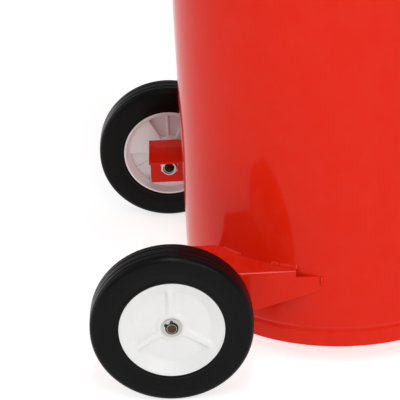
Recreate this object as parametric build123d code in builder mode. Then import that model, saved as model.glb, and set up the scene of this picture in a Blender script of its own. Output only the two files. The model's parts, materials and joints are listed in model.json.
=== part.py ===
"""Parts washer tank: a round steel tank on two rear wheels, with lid, basket and drain valve.

Millimetres, +Z up. The origin is on the floor under the tank's axis. The wheels are at the
rear (+Y), the drain valve is at the front (-Y), and left is -X. The lid stands fully open.
"""

from build123d import *
import os

os.makedirs("parts", exist_ok=True)

# ---- driving dimensions -------------------------------------------------------------------
TANK_R = 206.0            # outside radius of the shell
SHEET = 1.5               # shell and bottom sheet
TANK_FOOT_Z = 26.5        # lower edge of the shell above the floor
TANK_TOP_Z = 646.5        # top of the rolled rim
BEAD_RISE = 25.0          # swaged bead above the lower edge
BEAD_DEPTH = 1.2
RIM_R = 5.0               # rolled rim

WHEEL_R = 101.6
WHEEL_Y = 227.7
WHEEL_MID_X = 251.45      # middle of the tyre
TYRE_WIDTH = 44.0
TREAD_GROOVES = (-14.6, -6.0, 6.0, 14.6)
HUB_R = 65.6
SEAT_R = HUB_R + 3.0      # ridge that keeps the tyre on the hub
HUB_WIDTH = 39.7
HUB_WEB_X = 9.85          # outer face of the hub's web, from the wheel's middle
HUB_BACK_X = -11.45       # raised inner face
POCKET_X = -4.5           # floor of the three pockets in the inner face
POCKET_LOW_R = 21.5
POCKET_HIGH_R = 55.0
JOURNAL_R = 6.35          # half inch axle
RUN_FIT = 0.05            # radial play of a running fit
GAP = 0.3                 # play between pieces that move past each other

BRACKET_SHEET = 3.0
FLANGE_X = 203.0          # outer face of the wheel bracket's flange
PLATE_TOP_Z = 138.75
PLATE_INNER_X = 125.0
BRACKET_REAR_Y = 255.0
BRACKET_STEP_Y = 70.0     # front end of the top plate; a tongue runs on below it
TONGUE_END_Y = 20.0
TONGUE_TOP_Z = 129.5
TONGUE_LOW_Z = 115.0
SLOPE_END_Y = 169.0       # the lower edge slopes down from the tongue to here
FLANGE_LOW_Z = 71.0
SHANK_R = 7.94            # five eighths threaded end of the axle

DRAIN_Z = 76.0
DRAIN_REACH = 329.3       # the hose tail ends as far forward as the tyres reach back
BALL_Y = -266.0
PIPE_R = 10.6

LEG_ANGLE = 32.0          # front legs, each side of the drain
LEG_SHEET = 4.0
PAD_HEIGHT = 12.0

HANDLE_Z = 554.0
HANDLE_X = 136.0
HANDLE_Y = 312.0
HANDLE_TUBE_R = 11.0

HINGE_X = 70.0
HINGE_Y = 232.0
HINGE_Z = 636.0
HINGE_PIN_R = 4.0
LID_R = 217.5
LID_SHEET = 1.2
LID_FLAT_Z = 654.0        # top of the lid's flat border when it is shut
LID_SKIRT_Z = 632.0
LID_OPEN = 95.0           # degrees from shut to the open stop

BASKET_R = 190.0
BASKET_SHEET = 1.2
BASKET_FLOOR_Z = 510.3
BASKET_TOP_Z = 604.0
LEDGE_Z = 510.0
BAIL_Z = 612.0
BAIL_WIRE_R = 3.0
HOLE_R = 5.0
SIDE_HOLES = 40           # holes round each row of the basket's side
SIDE_ROWS = (28.0, 50.0, 72.0)
FLOOR_RINGS = {28.0: 6, 54.0: 12, 80.0: 18, 106.0: 24, 132.0: 30, 158.0: 36}

PROP_X = 222.0            # inner face of the lid prop
PROP_Y = 75.0
PROP_Z = 606.0
PROP_THICK = 3.0
PROP_WIDTH = 14.0
PROP_LENGTH = 210.0
ARM_END = 112.0           # distances along the prop from its pivot
TIP_START = 128.0
RIVETS = (-102.0, -111.0, -129.0, -138.0)
RIVET_R = 2.0

SIDES = {"left": -1, "right": 1}
WHEEL_AXIS = Axis((0, WHEEL_Y, WHEEL_R), (1, 0, 0))
LID_AXIS = Axis((0, HINGE_Y, HINGE_Z), (1, 0, 0))
TANK_AXIS = Axis.Z


def write(part, name):
    part.label = name
    export_step(part, f"parts/{name}.step")


def side_plane(side, distance, y=WHEEL_Y, z=WHEEL_R):
    """A plane across X: local x runs along Y, local y is up and extrusions go outwards."""
    return Plane(origin=(side * distance, y, z), x_dir=(0, side, 0), z_dir=(side, 0, 0))


def drain_plane(y):
    """A plane across the drain pipe, facing forwards."""
    return Plane(origin=(0, y, DRAIN_Z), x_dir=(1, 0, 0), z_dir=(0, -1, 0))


def wheel_section(side):
    """The plane through a wheel's axle: local x is outwards along it and local y is up."""
    origin = (side * WHEEL_MID_X, WHEEL_Y, WHEEL_R)
    return Plane(origin=origin, x_dir=(side, 0, 0), z_dir=(0, -side, 0))


# ---- tank ---------------------------------------------------------------------------------
bead_z = TANK_FOOT_Z + BEAD_RISE
bead_half = 4.0
rim_z = TANK_TOP_Z - RIM_R
rim_centre_r = TANK_R - SHEET + RIM_R
inner_r = TANK_R - SHEET

with BuildPart() as tank_shell:
    with BuildSketch(Plane.XZ):
        with BuildLine():
            Line((TANK_R, TANK_FOOT_Z), (TANK_R, bead_z - bead_half))
            ThreePointArc(
                (TANK_R, bead_z - bead_half),
                (TANK_R - BEAD_DEPTH, bead_z),
                (TANK_R, bead_z + bead_half),
            )
            Polyline(
                (TANK_R, bead_z + bead_half),
                (TANK_R, rim_z),
                (inner_r, rim_z),
                (inner_r, bead_z + bead_half),
            )
            ThreePointArc(
                (inner_r, bead_z + bead_half),
                (inner_r - BEAD_DEPTH, bead_z),
                (inner_r, bead_z - bead_half),
            )
            Polyline(
                (inner_r, bead_z - bead_half),
                (inner_r, TANK_FOOT_Z),
                (TANK_R, TANK_FOOT_Z),
            )
        make_face()
        with Locations((rim_centre_r, rim_z)):
            Circle(RIM_R)
    revolve(axis=TANK_AXIS)
    with BuildSketch(drain_plane(-TANK_R / 2)):
        Circle(PIPE_R + 0.1)
    extrude(amount=TANK_R, mode=Mode.SUBTRACT)
write(tank_shell.part, "tank_shell")

bottom_top_z = bead_z - bead_half - 0.5
with BuildPart() as tank_bottom:
    with BuildSketch(Plane.XY.offset(bottom_top_z - 16)):
        Circle(inner_r)
    extrude(amount=16)
    fillet(tank_bottom.edges().filter_by(GeomType.CIRCLE).sort_by(Axis.Z)[-1], radius=4)
    offset(
        amount=-SHEET,
        openings=tank_bottom.faces().sort_by(Axis.Z)[0],
        kind=Kind.INTERSECTION,
    )
write(tank_bottom.part, "tank_bottom")

with BuildPart() as basket_ledge:
    with BuildSketch(Plane.XZ):
        with BuildLine():
            FilletPolyline(
                (inner_r - 30, LEDGE_Z), (inner_r, LEDGE_Z), (inner_r, LEDGE_Z - 22), radius=5
            )
            offset(amount=2, side=Side.RIGHT)
        make_face()
    revolve(axis=TANK_AXIS)
write(basket_ledge.part, "basket_ledge")

# ---- wheel brackets and stub axles ----------------------------------------------------------
for name, side in SIDES.items():
    with BuildPart() as bracket:
        with BuildSketch(Plane(origin=(side * FLANGE_X, 0, 0), x_dir=(0, 1, 0), z_dir=(1, 0, 0))):
            Polygon(
                (BRACKET_REAR_Y, PLATE_TOP_Z),
                (BRACKET_STEP_Y, PLATE_TOP_Z),
                (BRACKET_STEP_Y, TONGUE_TOP_Z),
                (TONGUE_END_Y, TONGUE_TOP_Z),
                (TONGUE_END_Y, TONGUE_LOW_Z),
                (SLOPE_END_Y, FLANGE_LOW_Z),
                (BRACKET_REAR_Y, FLANGE_LOW_Z),
                align=None,
            )
        extrude(amount=-side * BRACKET_SHEET)
        with BuildSketch(Plane.XY.offset(PLATE_TOP_Z)):
            Polygon(
                (side * PLATE_INNER_X, BRACKET_REAR_Y),
                (side * FLANGE_X, BRACKET_REAR_Y),
                (side * FLANGE_X, BRACKET_STEP_Y),
                (side * PLATE_INNER_X, BRACKET_STEP_Y),
                align=None,
            )
        extrude(amount=-BRACKET_SHEET)
        bend = bracket.edges().filter_by(Axis.Y).filter_by_position(
            Axis.Z, PLATE_TOP_Z - 0.1, PLATE_TOP_Z + 0.1
        )
        fillet(bend.sort_by(Axis.X)[-1 if side > 0 else 0], radius=4)
        with BuildSketch(Plane.XY.offset(TANK_FOOT_Z)):
            Circle(TANK_R)
        extrude(amount=200, mode=Mode.SUBTRACT)
        with BuildSketch(side_plane(side, FLANGE_X - BRACKET_SHEET)):
            Circle(SHANK_R + 0.15)
        extrude(amount=BRACKET_SHEET, mode=Mode.SUBTRACT)
    write(bracket.part, f"{name}_wheel_bracket")

axle_tip_x = 267.7
hub_inner_x = WHEEL_MID_X - HUB_WIDTH / 2 + GAP
shoulder_x = hub_inner_x - 0.7
hub_boss_x = 264.0
washer_x = hub_boss_x + GAP
ring_x = washer_x + 1.5
nut_x = 182.0
for name, side in SIDES.items():
    with BuildPart() as axle:
        with BuildSketch(side_plane(side, nut_x + 1.5)):
            Circle(SHANK_R)
        extrude(amount=FLANGE_X - nut_x - 1.5)
        with BuildSketch(side_plane(side, FLANGE_X)):
            Circle(9.5)
        extrude(amount=shoulder_x - FLANGE_X)
        with BuildSketch(side_plane(side, shoulder_x)):
            Circle(JOURNAL_R)
        extrude(amount=axle_tip_x - shoulder_x)
        with BuildSketch(side_plane(side, ring_x)):
            Circle(JOURNAL_R + 1)
            Circle(JOURNAL_R - 0.65, mode=Mode.SUBTRACT)
        extrude(amount=1.1, mode=Mode.SUBTRACT)
    write(axle.part, f"{name}_axle")

with BuildPart() as axle_outer_washers:
    for side in SIDES.values():
        with BuildSketch(side_plane(side, washer_x)):
            Circle(12.75)
            Circle(JOURNAL_R + 0.25, mode=Mode.SUBTRACT)
        extrude(amount=1.5)
write(axle_outer_washers.part, "axle_outer_washers")

with BuildPart() as snap_rings:
    for side in SIDES.values():
        with BuildSketch(side_plane(side, ring_x + 0.05)):
            Circle(8.2)
            with PolarLocations(8.6, 2, start_angle=90, angular_range=60, endpoint=True):
                Circle(1.8)
            Circle(JOURNAL_R - 0.65, mode=Mode.SUBTRACT)
            with PolarLocations(8.9, 2, start_angle=90, angular_range=60, endpoint=True):
                Circle(0.7, mode=Mode.SUBTRACT)
            with Locations(Location((0, 0), 120)):
                Rectangle(12, 4, align=(Align.MIN, Align.CENTER), mode=Mode.SUBTRACT)
        extrude(amount=1.0)
write(snap_rings.part, "snap_rings")

with BuildPart() as axle_inner_washers:
    for side in SIDES.values():
        with BuildSketch(side_plane(side, FLANGE_X - BRACKET_SHEET - 2)):
            Circle(13.0)
            Circle(SHANK_R + 0.3, mode=Mode.SUBTRACT)
        extrude(amount=2)
write(axle_inner_washers.part, "axle_inner_washers")

with BuildPart() as axle_lock_nuts:
    for side in SIDES.values():
        with BuildSketch(side_plane(side, nut_x)):
            Circle(11.4)
        extrude(amount=4)
        with BuildSketch(side_plane(side, nut_x + 4)):
            RegularPolygon(11.9, 6, major_radius=False)
        extrude(amount=FLANGE_X - BRACKET_SHEET - 2 - nut_x - 4)
        with BuildSketch(side_plane(side, nut_x)):
            Circle(SHANK_R)
        extrude(amount=20, mode=Mode.SUBTRACT)
write(axle_lock_nuts.part, "axle_lock_nuts")

# ---- wheels -----------------------------------------------------------------------------------
half_hub = HUB_WIDTH / 2
half_tyre = TYRE_WIDTH / 2
boss_out = hub_boss_x - WHEEL_MID_X
boss_in = hub_inner_x - WHEEL_MID_X
bore_r = JOURNAL_R + RUN_FIT
for name, side in SIDES.items():
    with BuildPart() as hub:
        with BuildSketch(wheel_section(side)):
            with BuildLine():
                Polyline(
                    (boss_out, bore_r),
                    (boss_out, 18.0),
                    (HUB_WEB_X, 20.5),
                    (HUB_WEB_X, 49.0),
                    (half_hub, HUB_R - 1.4),
                    (half_hub, HUB_R),
                    (7.0, HUB_R),
                    (5.0, SEAT_R),
                    (-5.0, SEAT_R),
                    (-7.0, HUB_R),
                    (-half_hub, HUB_R),
                    (-half_hub, HUB_R - 2.6),
                    (HUB_BACK_X, HUB_R - 8.1),
                    (HUB_BACK_X, 20.0),
                    (boss_in, 17.8),
                    (boss_in, bore_r),
                    (boss_out, bore_r),
                )
            make_face()
        revolve(axis=WHEEL_AXIS)
        with BuildSketch(side_plane(side, WHEEL_MID_X + HUB_WEB_X - 1)):
            with PolarLocations(0, 3, start_angle=90):
                with Locations((39, 0)):
                    SlotOverall(40, 7)
        extrude(amount=4)
        with BuildSketch(side_plane(side, WHEEL_MID_X + POCKET_X)):
            Circle(POCKET_HIGH_R)
            Circle(POCKET_LOW_R, mode=Mode.SUBTRACT)
            with PolarLocations(0, 3, start_angle=30):
                Polygon((0, 0), (80, -50), (80, 50), align=None, mode=Mode.SUBTRACT)
        extrude(amount=HUB_BACK_X - POCKET_X, mode=Mode.SUBTRACT)
        with BuildSketch(side_plane(side, WHEEL_MID_X + POCKET_X)):
            with PolarLocations(0, 3, start_angle=90):
                with Locations((POCKET_LOW_R - 1, 0)):
                    Rectangle(POCKET_HIGH_R - POCKET_LOW_R + 2, 3, align=(Align.MIN, Align.CENTER))
        extrude(amount=-3.5)
    write(hub.part, f"{name}_hub")

    with BuildPart() as tyre:
        with BuildSketch(wheel_section(side)) as tyre_sketch:
            with BuildLine():
                Polyline(
                    (5.0, SEAT_R),
                    (7.0, HUB_R),
                    (half_tyre - 3.0, HUB_R),
                    (half_tyre, HUB_R + 6.0),
                    (half_tyre, WHEEL_R),
                    (-half_tyre, WHEEL_R),
                    (-half_tyre, HUB_R + 6.0),
                    (-half_tyre + 3.0, HUB_R),
                    (-7.0, HUB_R),
                    (-5.0, SEAT_R),
                    (5.0, SEAT_R),
                )
            make_face()
            shoulders = tyre_sketch.vertices().group_by(Axis.Y)[-1]
            fillet(shoulders, radius=12)
            with Locations(*[(offset_x, WHEEL_R) for offset_x in TREAD_GROOVES]):
                Circle(1.3, mode=Mode.SUBTRACT)
        revolve(axis=WHEEL_AXIS)
    write(tyre.part, f"{name}_tyre")

# ---- front legs -------------------------------------------------------------------------------
leg_y = -(TANK_R + 5.0)
foot_mid = TANK_R + 26.0
for name, side in SIDES.items():
    turn = side * LEG_ANGLE
    with BuildPart() as leg:
        with BuildSketch(Plane.YZ.offset(-25)):
            with BuildLine():
                FilletPolyline(
                    (-TANK_R + 8, 112),
                    (leg_y, 112),
                    (leg_y, PAD_HEIGHT + LEG_SHEET),
                    (-foot_mid - 20, PAD_HEIGHT + LEG_SHEET),
                    radius=6,
                )
                offset(amount=LEG_SHEET, side=Side.LEFT)
            make_face()
        extrude(amount=50)
        with BuildSketch(Plane.XY):
            Circle(TANK_R)
        extrude(amount=200, mode=Mode.SUBTRACT)
        with BuildSketch(Plane.XY.offset(PAD_HEIGHT)):
            with Locations((0, -foot_mid)):
                Circle(4.2)
        extrude(amount=5, mode=Mode.SUBTRACT)
    write(leg.part.rotate(TANK_AXIS, turn), f"{name}_front_leg")

foot_places = PolarLocations(
    foot_mid, 2, start_angle=-90 - LEG_ANGLE, angular_range=2 * LEG_ANGLE, endpoint=True
)
with BuildPart() as foot_pads:
    with BuildSketch():
        with foot_places:
            Circle(18)
    extrude(amount=PAD_HEIGHT, taper=-4)
    with BuildSketch():
        with foot_places:
            Circle(8.5)
    extrude(amount=7, mode=Mode.SUBTRACT)
    with BuildSketch():
        with foot_places:
            Circle(4.1)
    extrude(amount=PAD_HEIGHT, mode=Mode.SUBTRACT)
write(foot_pads.part, "foot_pads")

with BuildPart() as foot_bolts:
    with BuildSketch(Plane.XY.offset(2)):
        with foot_places:
            Circle(7.5)
    extrude(amount=5)
    with BuildSketch(Plane.XY.offset(7)):
        with foot_places:
            Circle(4)
    extrude(amount=21)
write(foot_bolts.part, "foot_bolts")

with BuildPart() as foot_nuts:
    with BuildSketch(Plane.XY.offset(PAD_HEIGHT + 4)):
        with foot_places:
            RegularPolygon(6.5, 6, major_radius=False)
            Circle(4, mode=Mode.SUBTRACT)
    extrude(amount=6.5)
write(foot_nuts.part, "foot_nuts")

# ---- drain ------------------------------------------------------------------------------------
with BuildPart() as drain_bung:
    with BuildSketch(drain_plane(-TANK_R + 12)):
        Circle(17)
    extrude(amount=32)
    fillet(drain_bung.edges().filter_by(GeomType.CIRCLE).sort_by(Axis.Y)[0], radius=2)
    with BuildSketch(Plane.XY):
        Circle(TANK_R)
    extrude(amount=200, mode=Mode.SUBTRACT)
    with BuildSketch(drain_plane(-TANK_R + 12)):
        Circle(PIPE_R)
    extrude(amount=32, mode=Mode.SUBTRACT)
write(drain_bung.part, "drain_bung")

with BuildPart() as drain_nipple:
    with BuildSketch(drain_plane(-212)):
        Circle(PIPE_R)
        Circle(PIPE_R - 2.6, mode=Mode.SUBTRACT)
    extrude(amount=34)
write(drain_nipple.part, "drain_nipple")

valve_back_y = -234.0
valve_length = 64.0
ball_r = 13.0
stem_r = 4.0
with BuildPart() as valve_body:
    with BuildSketch(drain_plane(valve_back_y)):
        RegularPolygon(15, 6, major_radius=False)
    extrude(amount=valve_length)
    with Locations((0, BALL_Y, DRAIN_Z)):
        Sphere(19)
    with BuildSketch(Plane.XY.offset(DRAIN_Z)):
        with Locations((0, BALL_Y)):
            Circle(8)
    extrude(amount=26)
    with BuildSketch(drain_plane(valve_back_y)):
        Circle(PIPE_R)
    extrude(amount=valve_length, mode=Mode.SUBTRACT)
    with Locations((0, BALL_Y, DRAIN_Z)):
        Sphere(ball_r + GAP, mode=Mode.SUBTRACT)
    with BuildSketch(Plane.XY.offset(DRAIN_Z)):
        with Locations((0, BALL_Y)):
            Circle(stem_r + RUN_FIT)
    extrude(amount=30, mode=Mode.SUBTRACT)
write(valve_body.part, "valve_body")

stem_foot_z = DRAIN_Z + 11.5
with BuildPart() as valve_ball:
    with Locations((0, BALL_Y, DRAIN_Z)):
        Sphere(ball_r)
    with BuildSketch(side_plane(1, -20, y=BALL_Y, z=DRAIN_Z)):
        Circle(8)
    extrude(amount=40, mode=Mode.SUBTRACT)
    with BuildSketch(Plane.XY.offset(stem_foot_z)):
        with Locations((0, BALL_Y)):
            Rectangle(40, 40)
    extrude(amount=5, mode=Mode.SUBTRACT)
write(valve_ball.part, "valve_ball")

lever_z = DRAIN_Z + 29.0
with BuildPart() as valve_stem:
    with BuildSketch(Plane.XY.offset(stem_foot_z)):
        with Locations((0, BALL_Y)):
            Circle(stem_r)
    extrude(amount=lever_z + 10 - stem_foot_z)
write(valve_stem.part, "valve_stem")

with BuildPart() as valve_lever:
    with BuildSketch(Plane.XZ.offset(-BALL_Y - 7)):
        with BuildLine():
            FilletPolyline(
                (-9, lever_z), (24, lever_z), (36, lever_z + 10), (92, lever_z + 10), radius=6
            )
            offset(amount=2.5, side=Side.LEFT)
        make_face()
    extrude(amount=14)
    fillet(valve_lever.edges().filter_by(Axis.Z), radius=5)
    with BuildSketch(Plane.XY.offset(lever_z)):
        with Locations((0, BALL_Y)):
            Circle(stem_r)
    extrude(amount=5, mode=Mode.SUBTRACT)
write(valve_lever.part, "valve_lever")

with BuildPart() as lever_sleeve:
    with BuildSketch(side_plane(1, 42, y=BALL_Y, z=lever_z + 11.25)):
        RectangleRounded(18, 6.5, 2.5)
        Rectangle(14, 2.5, mode=Mode.SUBTRACT)
    extrude(amount=46)
write(lever_sleeve.part, "lever_sleeve")

with BuildPart() as lever_nut:
    with BuildSketch(Plane.XY.offset(lever_z + 2.5)):
        with Locations((0, BALL_Y)):
            RegularPolygon(6.5, 6, major_radius=False)
            Circle(stem_r, mode=Mode.SUBTRACT)
    extrude(amount=6)
write(lever_nut.part, "lever_nut")

tail_y = valve_back_y - valve_length
with BuildPart() as hose_tail:
    with BuildSketch(Plane.YZ):
        with BuildLine():
            Polyline(
                (tail_y + 12, DRAIN_Z + 7),
                (tail_y + 12, DRAIN_Z + PIPE_R),
                (tail_y, DRAIN_Z + PIPE_R),
                (tail_y, DRAIN_Z + 13),
                (tail_y - 5, DRAIN_Z + 13),
                (tail_y - 5, DRAIN_Z + 9.5),
                (tail_y - 10, DRAIN_Z + 11),
                (tail_y - 10, DRAIN_Z + 9.5),
                (tail_y - 15, DRAIN_Z + 11),
                (tail_y - 15, DRAIN_Z + 9.5),
                (-DRAIN_REACH + 6, DRAIN_Z + 9.5),
                (-DRAIN_REACH, DRAIN_Z + 9.5),
                (-DRAIN_REACH, DRAIN_Z + 7),
                (tail_y + 12, DRAIN_Z + 7),
            )
        make_face()
    revolve(axis=Axis((0, 0, DRAIN_Z), (0, 1, 0)))
write(hose_tail.part, "hose_tail")

# ---- push handle ------------------------------------------------------------------------------
socket_end_y = 206.0
bolt_y = 190.0
handle_start_y = 172.0
with BuildPart() as push_handle:
    with BuildLine(Plane.XY.offset(HANDLE_Z)) as handle_line:
        FilletPolyline(
            (-HANDLE_X, handle_start_y),
            (-HANDLE_X, HANDLE_Y),
            (HANDLE_X, HANDLE_Y),
            (HANDLE_X, handle_start_y),
            radius=45,
        )
    with BuildSketch(Plane(origin=(-HANDLE_X, handle_start_y, HANDLE_Z), z_dir=(0, 1, 0))):
        Circle(HANDLE_TUBE_R)
        Circle(HANDLE_TUBE_R - 1.5, mode=Mode.SUBTRACT)
    sweep()
    with BuildSketch(Plane.XY.offset(HANDLE_Z - 20)):
        with Locations((-HANDLE_X, bolt_y), (HANDLE_X, bolt_y)):
            Circle(3)
    extrude(amount=40, mode=Mode.SUBTRACT)
write(push_handle.part, "push_handle")

with BuildPart() as handle_grip:
    with BuildSketch(Plane.YZ.offset(-80)):
        with Locations((HANDLE_Y, HANDLE_Z)):
            Circle(15)
            Circle(HANDLE_TUBE_R, mode=Mode.SUBTRACT)
    extrude(amount=160)
    outer = handle_grip.edges().filter_by(GeomType.CIRCLE).filter_by(lambda edge: edge.radius > 14)
    fillet(outer, radius=2)
write(handle_grip.part, "handle_grip")

for name, side in SIDES.items():
    with BuildPart() as socket:
        with BuildSketch(Plane(origin=(side * HANDLE_X, 120, HANDLE_Z), z_dir=(0, 1, 0))):
            Circle(13.5)
        extrude(amount=socket_end_y - 120)
        with BuildSketch(Plane.XY.offset(HANDLE_Z - 30)):
            Circle(TANK_R)
        extrude(amount=60, mode=Mode.SUBTRACT)
        with BuildSketch(Plane(origin=(side * HANDLE_X, 120, HANDLE_Z), z_dir=(0, 1, 0))):
            Circle(HANDLE_TUBE_R)
        extrude(amount=socket_end_y - 120, mode=Mode.SUBTRACT)
        with BuildSketch(Plane.XY.offset(HANDLE_Z - 20)):
            with Locations((side * HANDLE_X, bolt_y)):
                Circle(3)
        extrude(amount=40, mode=Mode.SUBTRACT)
    write(socket.part, f"{name}_handle_socket")

bolt_places = Locations((-HANDLE_X, bolt_y), (HANDLE_X, bolt_y))
with BuildPart() as handle_bolts:
    with BuildSketch(Plane.XY.offset(HANDLE_Z - 21)):
        with bolt_places:
            Circle(3)
    extrude(amount=34.5)
    with BuildSketch(Plane.XY.offset(HANDLE_Z + 13.5)):
        with bolt_places:
            RegularPolygon(5, 6, major_radius=False)
    extrude(amount=4)
write(handle_bolts.part, "handle_bolts")

with BuildPart() as handle_nuts:
    with BuildSketch(Plane.XY.offset(HANDLE_Z - 18.5)):
        with bolt_places:
            RegularPolygon(5, 6, major_radius=False)
            Circle(3, mode=Mode.SUBTRACT)
    extrude(amount=5)
write(handle_nuts.part, "handle_nuts")

# ---- lid and hinges ---------------------------------------------------------------------------
ear_gap = 5.3             # half the space between a hinge's two ears
ear_thick = 4.0
knuckle_r = 9.0
for name, side in SIDES.items():
    hinge_x = side * HINGE_X
    with BuildPart() as hinge_bracket:
        for ear_x in (hinge_x - ear_gap - ear_thick, hinge_x + ear_gap):
            with BuildSketch(Plane.YZ.offset(ear_x)):
                with Locations((HINGE_Y, HINGE_Z)):
                    Circle(knuckle_r)
                with BuildLine():
                    Polyline((170, 576), (170, 606), (194, 612), (194, 576), close=True)
                make_face()
                make_hull()
                with Locations((HINGE_Y, HINGE_Z)):
                    Circle(HINGE_PIN_R, mode=Mode.SUBTRACT)
            extrude(amount=ear_thick)
        with BuildSketch(Plane.XY.offset(576)):
            with Locations((hinge_x, 0)):
                Rectangle(2 * ear_gap + 2 * ear_thick, 214, align=(Align.CENTER, Align.MIN))
        extrude(amount=3.5)
        with BuildSketch(Plane.XY.offset(570)):
            Circle(TANK_R)
        extrude(amount=60, mode=Mode.SUBTRACT)
    write(hinge_bracket.part, f"{name}_hinge_bracket")

    with BuildPart() as hinge_strap:
        with BuildSketch(Plane.YZ.offset(hinge_x - ear_gap + GAP)):
            with Locations((HINGE_Y, HINGE_Z)):
                Circle(knuckle_r - 0.5)
            with BuildLine():
                Polyline((180, 640), (180, 652), (206, 652), (206, 640), close=True)
            make_face()
            make_hull()
            with Locations((HINGE_Y, HINGE_Z)):
                Circle(HINGE_PIN_R + RUN_FIT, mode=Mode.SUBTRACT)
        extrude(amount=2 * (ear_gap - GAP))
        with BuildSketch(Plane.XY.offset(600)):
            Circle(LID_R)
        extrude(amount=60, mode=Mode.SUBTRACT)
    write(hinge_strap.part.rotate(LID_AXIS, -LID_OPEN), f"{name}_hinge_strap")

    with BuildPart() as hinge_pin:
        with BuildSketch(side_plane(side, HINGE_X - 11, y=HINGE_Y, z=HINGE_Z)):
            Circle(HINGE_PIN_R)
        extrude(amount=22)
        with BuildSketch(side_plane(side, HINGE_X + ear_gap + ear_thick, y=HINGE_Y, z=HINGE_Z)):
            Circle(6.5)
        extrude(amount=3)
        head_edges = hinge_pin.edges().filter_by(GeomType.CIRCLE).group_by(Axis.X)
        fillet(head_edges[-1 if side > 0 else 0], radius=1)
    write(hinge_pin.part, f"{name}_hinge_pin")

with BuildPart() as lid:
    with BuildSketch(Plane.XZ):
        with BuildLine():
            shape = FilletPolyline(
                (0, LID_FLAT_Z + 9),
                (158, LID_FLAT_Z + 9),
                (172, LID_FLAT_Z),
                (LID_R, LID_FLAT_Z),
                (LID_R, LID_SKIRT_Z),
                radius=4,
            )
            offset(shape, amount=LID_SHEET, side=Side.RIGHT)
        make_face()
    revolve(axis=TANK_AXIS)
    with BuildSketch(Plane.XY.offset(LID_FLAT_Z - 3)):
        with Locations((-60, -186), (60, -186)):
            Circle(2.6)
    extrude(amount=6, mode=Mode.SUBTRACT)
write(lid.part.rotate(LID_AXIS, -LID_OPEN), "lid")

with BuildPart() as lid_gasket:
    with BuildSketch(Plane.XY.offset(TANK_TOP_Z + GAP)):
        Circle(213)
        Circle(205, mode=Mode.SUBTRACT)
    extrude(amount=LID_FLAT_Z - LID_SHEET - TANK_TOP_Z - GAP)
write(lid_gasket.part.rotate(LID_AXIS, -LID_OPEN), "lid_gasket")

with BuildPart() as lid_handle:
    with BuildLine(Plane.XZ.offset(186)):
        FilletPolyline(
            (-60, LID_FLAT_Z), (-60, LID_FLAT_Z + 32), (60, LID_FLAT_Z + 32), (60, LID_FLAT_Z), radius=12
        )
    with BuildSketch(Plane(origin=(-60, -186, LID_FLAT_Z), z_dir=(0, 0, 1))):
        Circle(5)
    sweep()
    with BuildSketch(Plane.XY.offset(LID_FLAT_Z)):
        with Locations((-60, -186), (60, -186)):
            Circle(2.5)
    extrude(amount=12, mode=Mode.SUBTRACT)
write(lid_handle.part.rotate(LID_AXIS, -LID_OPEN), "lid_handle")

with BuildPart() as lid_handle_screws:
    with BuildSketch(Plane.XY.offset(LID_FLAT_Z - LID_SHEET - 3)):
        with Locations((-60, -186), (60, -186)):
            Circle(5)
    extrude(amount=3)
    with BuildSketch(Plane.XY.offset(LID_FLAT_Z - LID_SHEET)):
        with Locations((-60, -186), (60, -186)):
            Circle(2.5)
    extrude(amount=12)
write(lid_handle_screws.part.rotate(LID_AXIS, -LID_OPEN), "lid_handle_screws")

with BuildPart() as lid_catch_stud:
    with BuildSketch(side_plane(1, LID_R - 6, y=0, z=643)):
        Circle(4)
    extrude(amount=14.5)
    with BuildSketch(side_plane(1, LID_R + 8.5, y=0, z=643)):
        Circle(6)
    extrude(amount=2)
    with BuildSketch(Plane.XY.offset(600)):
        Circle(LID_R)
    extrude(amount=60, mode=Mode.SUBTRACT)
write(lid_catch_stud.part.rotate(LID_AXIS, -LID_OPEN), "lid_catch_stud")

# ---- lid prop with its fusible link -----------------------------------------------------------
prop_bolt_x = PROP_X + PROP_THICK
with BuildPart() as prop_bracket:
    with BuildSketch(Plane.XY.offset(PROP_Z - 10)):
        with Locations((170, PROP_Y)):
            Rectangle(PROP_X - GAP - 170, 20, align=(Align.MIN, Align.CENTER))
    extrude(amount=20)
    with BuildSketch(Plane.XY.offset(PROP_Z - 20)):
        Circle(TANK_R)
    extrude(amount=40, mode=Mode.SUBTRACT)
    with BuildSketch(side_plane(1, 170, y=PROP_Y, z=PROP_Z)):
        Circle(4)
    extrude(amount=60, mode=Mode.SUBTRACT)
write(prop_bracket.part, "prop_bracket")

with BuildPart() as prop_pivot_bolt:
    with BuildSketch(side_plane(1, 200, y=PROP_Y, z=PROP_Z)):
        Circle(4)
    extrude(amount=prop_bolt_x + GAP - 200)
    with BuildSketch(side_plane(1, prop_bolt_x + GAP, y=PROP_Y, z=PROP_Z)):
        RegularPolygon(6.5, 6, major_radius=False)
    extrude(amount=4.5)
write(prop_pivot_bolt.part, "prop_pivot_bolt")

with BuildPart() as prop_rest:
    with BuildSketch(Plane.XY.offset(PROP_Z - PROP_WIDTH / 2 - 3)):
        with Locations((170, -95)):
            Rectangle(PROP_X + PROP_THICK + 4.5 - 170, 16, align=(Align.MIN, Align.CENTER))
    extrude(amount=3 - GAP)
    with BuildSketch(Plane.XY.offset(PROP_Z - PROP_WIDTH / 2 - GAP)):
        with Locations((PROP_X + PROP_THICK + 2.5, -95)):
            Rectangle(2, 16, align=(Align.MIN, Align.CENTER))
    extrude(amount=5)
    with BuildSketch(Plane.XY.offset(PROP_Z - 20)):
        Circle(TANK_R)
    extrude(amount=40, mode=Mode.SUBTRACT)
write(prop_rest.part, "prop_rest")

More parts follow.
